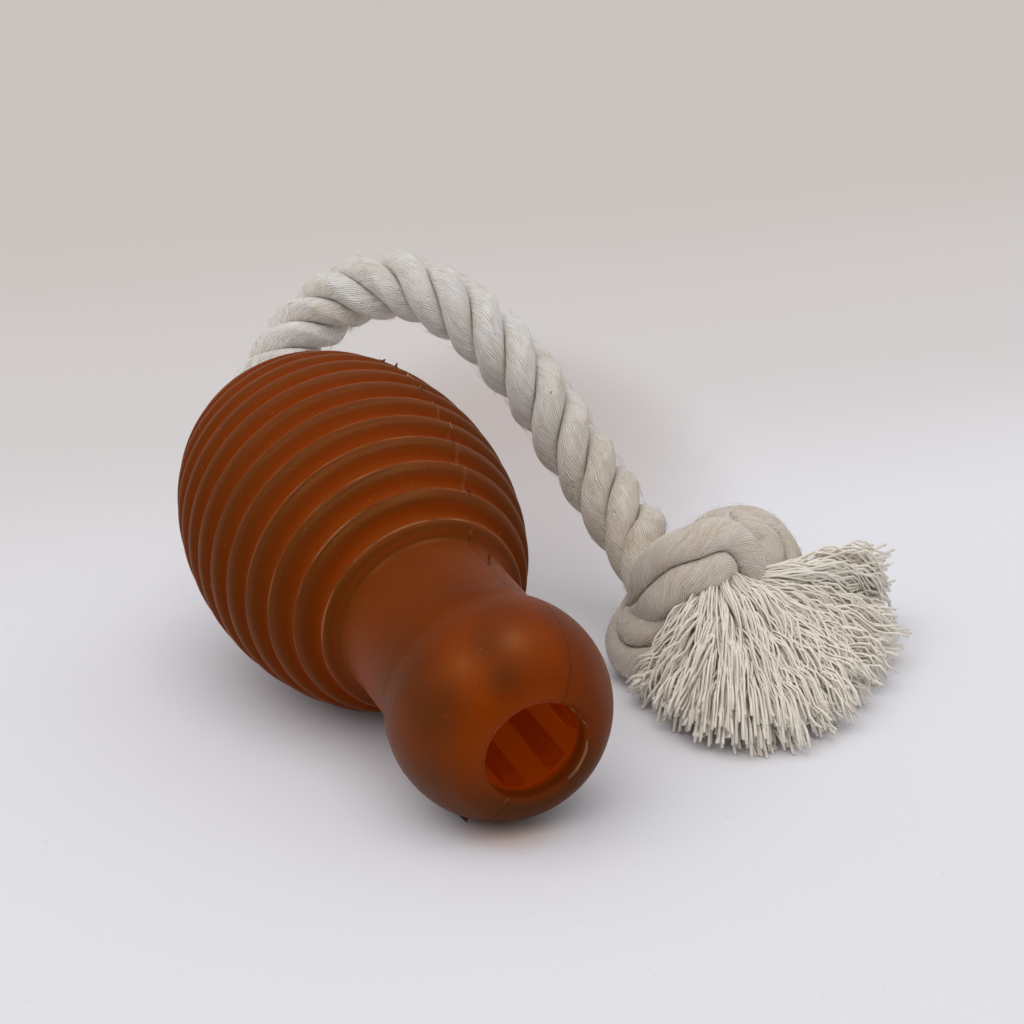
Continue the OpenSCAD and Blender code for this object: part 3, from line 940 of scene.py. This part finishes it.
# Torn slivers of the mould's seam: [angle from the top towards +Y, length below the mouth in mm]
SLIVERS = [
    ((32, 0.1), (40, 0.0), (48, 0.0), (57, 0.0), (66, 0.1)), ((88, 0.1), (98, 0.0), (108, 0.0), (122, 0.0), (136, 0.1)),
    ((208, 0.1), (210, 0.3), (208, 1.2), (205, 2.4)), ((27, 40.0), (29, 41.5), (31, 43.0), (34, 45.0)),
    ((206, 24.0), (206, 27.0), (205, 30.0), (205, 33.0), (206, 36.0)), ((205, 8.0), (205, 11.0), (204, 14.0)),
]


class CHEWTOY_OT_flash(bpy.types.Operator):
    """Makes the torn slivers of rubber that the mould's seam left"""

    bl_idname = "chewtoy.flash"
    bl_label = "Mould flash"

    def execute(self, context):
        dice = random.Random(3)
        section = body_section()[0]
        outer = [(z, r, rib) for r, z, rib, inner in section if inner == 0.0]
        outer.sort()

        def surface(z):
            for (a, f, _), (b, g, _) in zip(outer, outer[1:]):
                if z <= b:
                    return f + (g - f) * (z - a) / max(b - a, 1e-9)
            return 10.9 * MM

        strips = [[(math.radians(a), -depth * MM, 0.8) for a, depth in sliver] for sliver in SLIVERS]
        for number in range(10):
            ridge = [z for z, r, rib in outer if number + 0.30 < rib < number + 0.80]
            lean = dice.uniform(-1.5, 1.5)
            strips.append([
                (SEAM + math.radians(lean + dice.uniform(-0.6, 0.6)), z, 0.30 + 0.5 * (dice.random() < 0.3))
                for z in ridge[:: dice.choice((1, 2))][: dice.randrange(3, 7)]
            ])
        bm = bmesh.new()
        for strip in strips:
            base, out = [], []
            for angle, z, high in strip:
                way = Vector((-math.cos(angle), math.sin(angle), 0.0))
                r = 10.5 * MM if z > -0.5 * MM else surface(z)
                base.append(bm.verts.new(way * (r - 0.2 * MM) + Vector((0.0, 0.0, z - 0.1 * MM))))
                lift = Vector((0.0, 0.0, 1.0)) if z > -0.5 * MM else way
                out.append(lift * high * dice.uniform(0.6, 1.5) * MM + way * dice.uniform(-0.1, 0.2) * MM)
            if len(base) < 2:
                continue
            edges = [bm.edges.new(pair) for pair in zip(base, base[1:])]
            grown = bmesh.ops.extrude_edge_only(bm, edges=edges)["geom"]
            for vert in [g for g in grown if isinstance(g, bmesh.types.BMVert)]:
                i = min(range(len(base)), key=lambda k: (base[k].co - vert.co).length)
                vert.co = base[i].co + out[i]
            faces = [g for g in grown if isinstance(g, bmesh.types.BMFace)]
            bmesh.ops.solidify(bm, geom=faces, thickness=0.22 * MM)
        bmesh.ops.transform(bm, matrix=ON_AXIS, verts=bm.verts)
        bmesh.ops.recalc_face_normals(bm, faces=bm.faces)
        made = piece("seam_flash", bm, flash_finish())
        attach(made, "toy_body")
        return {"FINISHED"}


ROOT = Vector((14.0, 70.0, 22.0)) * MM
# Where the bunches of yarns end, as in the source
FAN_EDGE = [
    (18, 49, 4), (33, 46, 4), (44, 48, 4), (50, 54, 4), (52, 62, 4), (50, 71, 4), (46, 80, 5),
    (39, 90, 6), (30, 101, 6), (20, 111, 7),
]
# The upper hanks, from the knot over the lower yarns to their tips
HANKS = [
    ((16, 62, 21), (19, 57, 17), (18, 53, 9), (16, 48, 3)),
    ((18, 62, 22), (23, 57, 17), (26, 52, 10), (29, 49, 4)),
    ((18, 64, 23), (26, 60, 18), (33, 56, 12), (39, 52, 4)),
    ((18, 65, 24), (28, 62, 19), (38, 60, 12), (45, 57, 4)),
    ((18, 67, 25), (28, 68, 20), (38, 69, 12), (45, 68, 4)),
    ((18, 69, 25), (27, 74, 20), (36, 77, 12), (43, 78, 4)),
    ((18, 71, 24), (24, 79, 19), (32, 86, 12), (38, 88, 4)),
    ((17, 72, 23), (20, 83, 18), (24, 94, 12), (28, 102, 5)),
    ((18, 74, 19), (18, 91, 15), (12, 106, 11), (8, 119, 7)),
    ((18, 74, 20), (17, 92, 16), (6, 110, 13), (-4, 124, 9)),
    ((18, 76, 18), (17, 95, 12), (1, 109, 9), (-13, 118, 5)),
    ((17, 74, 21), (18, 88, 19), (18, 101, 13), (18, 111, 6)),
    ((17, 75, 22), (16, 89, 22), (11, 104, 19), (3, 119, 12)),
    ((16, 76, 23), (15, 90, 23), (9, 104, 21), (0, 121, 15)),
]
FULL = 1.06
YARN_SIDES, YARN_STEPS = 4, 14


def tube_pattern(name, around, steps):
    """A straight tube to copy: its points are [cosine, sine, step along]"""
    bm = bmesh.new()
    layer = bm.loops.layers.uv.new("yarns")
    verts, rims = wrapped_grid(
        bm, steps, around,
        lambda i, j: Vector((math.cos(2 * math.pi * j / around), math.sin(2 * math.pi * j / around), i)),
        lambda i, j: (j / around, i / steps), layer,
    )
    close_tube(bm, verts, rims)
    bmesh.ops.recalc_face_normals(bm, faces=bm.faces)
    pattern = bpy.data.meshes.new(name)
    bm.to_mesh(pattern)
    bm.free()
    return pattern


def lay_tube(bm, pattern, tone, path, thick, shade):
    """Adds a copy of the pattern to bm along a path"""
    first = len(bm.verts)
    bm.from_mesh(pattern)
    bm.verts.ensure_lookup_table()
    ways, side = sides(path, Vector((0.0, 0.0, 1.0)))
    for vert in bm.verts[first:]:
        i = round(vert.co.z)
        across, up = side[i], ways[i].cross(side[i])
        vert.co = path[i] + (across * vert.co.x + up * vert.co.y) * thick(i)
        vert[tone] = shade


def loose_fibres(bm, tone, dice, count, roots, long):
    """Adds thin curled hairs that start at roots of [point, direction along, outwards]"""
    pattern = tube_pattern("hair_pattern", 3, 4)
    for _ in range(count):
        point, along, out = dice.choice(roots)
        across = along.cross(out)
        length = long * dice.uniform(0.4, 1.2)
        lift = dice.uniform(0.15, 0.9)
        bend = dice.uniform(-1.2, 1.2)
        turn = dice.choice((-1, 1))
        path = []
        for k in range(5):
            t = k / 4
            step = along * (turn * math.sin(1.6 * t)) + across * (bend * t * t) + out * (lift * t * (1.4 - t))
            place = point + step * length - out * 0.1 * MM
            place.z = max(place.z, 0.05 * MM)
            path.append(place)
        lay_tube(bm, pattern, tone, path, lambda i: 0.042 * MM * (1 - 0.15 * i), dice.random())


class CHEWTOY_OT_tassel(bpy.types.Operator):
    """Makes the tassel: bunches of yarns that come out of the knot, arch over and fall
    to the ground"""

    bl_idname = "chewtoy.tassel"
    bl_label = "Tassel"

    def execute(self, context):
        _, rope, sizes = settings()
        dice = random.Random(sizes.seed)
        line, joint = free_line()
        knot = line[joint:-14]
        tree = kdtree.KDTree(len(knot))
        for i, point in enumerate(knot):
            tree.insert(point, i)
        tree.balance()
        pattern = tube_pattern("yarn_pattern", YARN_SIDES, YARN_STEPS)
        bm = bmesh.new()
        bm.loops.layers.uv.new("yarns")
        tone = bm.verts.layers.float.new("tone")
        yarn_r = sizes.yarn_d / 2
        knot_r = rope.rope_d / 2 * FULL
        tips = []

        def clear(point, room):
            near = tree.find(point)[0]
            off = point - near
            if off.length < knot_r + room:
                point = near + off.normalized() * (knot_r + room)
            point.z = max(point.z, yarn_r * 1.2)
            return point

        def bunch(places, count, root_r, tip_r, twist, drop):
            """Lays yarns round a line through places, twisted like a strand that opens"""
            middle = smooth_line(places, 0.0, YARN_STEPS)
            ways, side = sides(middle, Vector((0.0, 0.0, 1.0)))
            beat = dice.uniform(0, 6.28)
            waves = dice.uniform(2.4, 3.8)
            for number in range(count):
                spread = math.sqrt(dice.random())
                angle = dice.uniform(0, 2 * math.pi)
                ply = number % 3 * 2 * math.pi / 3 + dice.gauss(0, 0.1)
                split = 0.62 if abs(twist) > 1 else 0.0
                shift = beat + dice.gauss(0, 1.2)
                last = dice.uniform(0.84, 1.0) - 0.05 * max(0.0, math.sin(angle + twist))
                stray = dice.gauss(0, 1.0) * MM
                fall = dice.uniform(0, drop) * MM
                over = dice.uniform(0, 1.6) * MM
                path = []
                for k in range(YARN_STEPS + 1):
                    t = k / YARN_STEPS
                    at = t * last * YARN_STEPS
                    i = min(int(at), YARN_STEPS - 1)
                    centre = middle[i].lerp(middle[i + 1], at - i)
                    across, up = side[i], ways[i].cross(side[i])
                    a = angle + twist * t
                    whole_r = (root_r + (tip_r - root_r) * t) * MM
                    apart = whole_r * split * (1 - 0.3 * t)
                    r = whole_r * spread * (1 - 0.55 * split / 0.62 * (1 - t * t))
                    swing = sizes.crimp * (0.4 + t) * math.sin(waves * 6.28 * t + shift)
                    b = ply + twist * t
                    point = centre + across * (math.cos(a) * r + math.cos(b) * apart + swing + stray * t * t)
                    point += up * (math.sin(a) * r + math.sin(b) * apart)
                    point.z += swing * 0.6 - fall * t * t * t
                    point = clear(point, yarn_r + over * min(1.0, 2 * t)) if k > 1 else point
                    point.z = max(point.z, yarn_r * 1.2)
                    path.append(point)
                lay_tube(
                    bm, pattern, tone, path,
                    lambda i: yarn_r * (1.35 if i == YARN_STEPS else 1.2 if i == YARN_STEPS - 1 else 1.0), dice.random(),
                )
                tips.append((path[-1], (path[-1] - path[-2]).normalized(), Vector((0.0, 0.0, 1.0))))

        for edge in FAN_EDGE:
            edge = Vector(edge) * MM
            flat = Vector((edge.x - ROOT.x, edge.y - ROOT.y, 0.0))
            low = ROOT + Vector((3.0, 0.0, -5.0)) * MM
            places = [low + flat * 0.06, low + flat * 0.38, low + flat * 0.72, low + flat]
            for place, height in zip(places, (16.0, 15.0, 9.5, 2.5 if edge.z < 8 * MM else 5.0)):
                place.z = height * MM
            bunch(places, sizes.yarns, 3.0, 4.6, dice.uniform(-0.8, 0.8), 1.0)
        for places in HANKS:
            bunch([Vector(p) * MM for p in places], sizes.yarns, 2.2, 3.4, dice.uniform(3.4, 4.6), 3.0)
        loose_fibres(bm, tone, dice, 1150, tips, 1.8 * MM)
        bmesh.ops.recalc_face_normals(bm, faces=bm.faces)
        made = piece("tassel_yarns", bm, bpy.data.materials["cotton_yarn"])
        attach(made, "rope")
        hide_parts("tassel")
        return {"FINISHED"}


class CHEWTOY_OT_cord(bpy.types.Operator):
    """Works out the free rope's path up to its knot and its length, and keeps neither"""

    bl_idname = "chewtoy.cord"
    bl_label = "Free cord"

    def execute(self, context):
        line, joint = free_line()
        path = line[: joint + 1 : 2]
        if (path[-1] - line[joint]).length > 1e-6:
            path.append(line[joint])
        length = running(path)[-1]
        [tuple(p) for p in path]
        return {"FINISHED"}


class CHEWTOY_OT_stage(bpy.types.Operator):
    """Sets the camera, the floor and the soft studio light"""

    bl_idname = "chewtoy.stage"
    bl_label = "Stage"

    def execute(self, context):
        scene = context.scene
        lens = bpy.data.cameras.new("camera")
        lens.sensor_width = 36.0
        lens.lens = 84.375
        lens.clip_start, lens.clip_end = 0.01, 20.0
        camera = bpy.data.objects.new("camera", lens)
        scene.collection.objects.link(camera)
        camera.location = (0.4249, -0.1778, 0.1977)
        aim = Vector((-0.1091, 0.0803, 0.0)) - camera.location
        camera.rotation_euler = aim.to_track_quat("-Z", "Y").to_euler()
        scene.camera = camera

        bm = bmesh.new()
        bmesh.ops.create_grid(bm, x_segments=8, y_segments=8, size=6.0)
        floor = piece("floor", bm, paper_finish())

        def lamp(name, kind, place, power, tint, **sizes):
            light = bpy.data.lights.new(name, kind)
            light.energy = power
            light.color = tint
            for key, value in sizes.items():
                setattr(light, key, value)
            made = bpy.data.objects.new(name, light)
            scene.collection.objects.link(made)
            made.location = place
            made.rotation_euler = (Vector((0.06, 0.0, 0.03)) - Vector(place)).to_track_quat("-Z", "Y").to_euler()
            return made

        lamp("sky", "SUN", (0.30, -0.38, 1.00), 1.22, (1.0, 0.985, 0.97), angle=math.radians(75))
        for name, way, power in (("overhead", (0.08, 0.22, 0.97), 6.0), ("window", (0.06, -0.61, 0.79), 4.4)):
            made = lamp(name, "AREA", Vector(way) + Vector((0.06, 0.0, 0.03)), power, (1.0, 0.97, 0.94), size=0.16)
            made.visible_diffuse = False
        world = bpy.data.worlds.new("studio")
        scene.world = world
        world.use_nodes = True
        sky = world.node_tree.nodes["Background"]
        sky.inputs["Color"].default_value = (0.96, 0.965, 1.0, 1.0)
        sky.inputs["Strength"].default_value = 0.60
        scene.view_settings.view_transform = "Standard"
        return {"FINISHED"}


class CHEWTOY_PT_panel(bpy.types.Panel):
    """Lists the toy's pieces"""

    bl_idname = "CHEWTOY_PT_panel"
    bl_label = "Chew toy"
    bl_space_type = "VIEW_3D"
    bl_region_type = "UI"
    bl_category = "Chew toy"

    def draw(self, context):
        for kind in OPERATORS:
            self.layout.operator(kind.bl_idname)


GROUPS = {
    "chew_toy_rubber": RubberSizes,
    "chew_toy_rope": RopeSizes,
    "chew_toy_tassel": TasselSizes,
    "chew_toy_colours": ToyColours,
}
OPERATORS = [
    CHEWTOY_OT_stage, CHEWTOY_OT_rope, CHEWTOY_OT_body, CHEWTOY_OT_flash, CHEWTOY_OT_tassel, CHEWTOY_OT_cord,
]


def register():
    for kind in [*GROUPS.values(), *OPERATORS, CHEWTOY_PT_panel]:
        bpy.utils.register_class(kind)
    for name, kind in GROUPS.items():
        setattr(bpy.types.Scene, name, PointerProperty(type=kind))


def unregister():
    for name in GROUPS:
        delattr(bpy.types.Scene, name)
    for kind in reversed([*GROUPS.values(), *OPERATORS, CHEWTOY_PT_panel]):
        bpy.utils.unregister_class(kind)


def main():
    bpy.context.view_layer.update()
    register()
    bpy.ops.chewtoy.stage()
    bpy.ops.chewtoy.rope()
    bpy.ops.chewtoy.body()
    bpy.ops.chewtoy.flash()
    bpy.ops.chewtoy.tassel()
    bpy.ops.chewtoy.cord()
    bpy.context.view_layer.update()


if __name__ == "__main__":
    main()
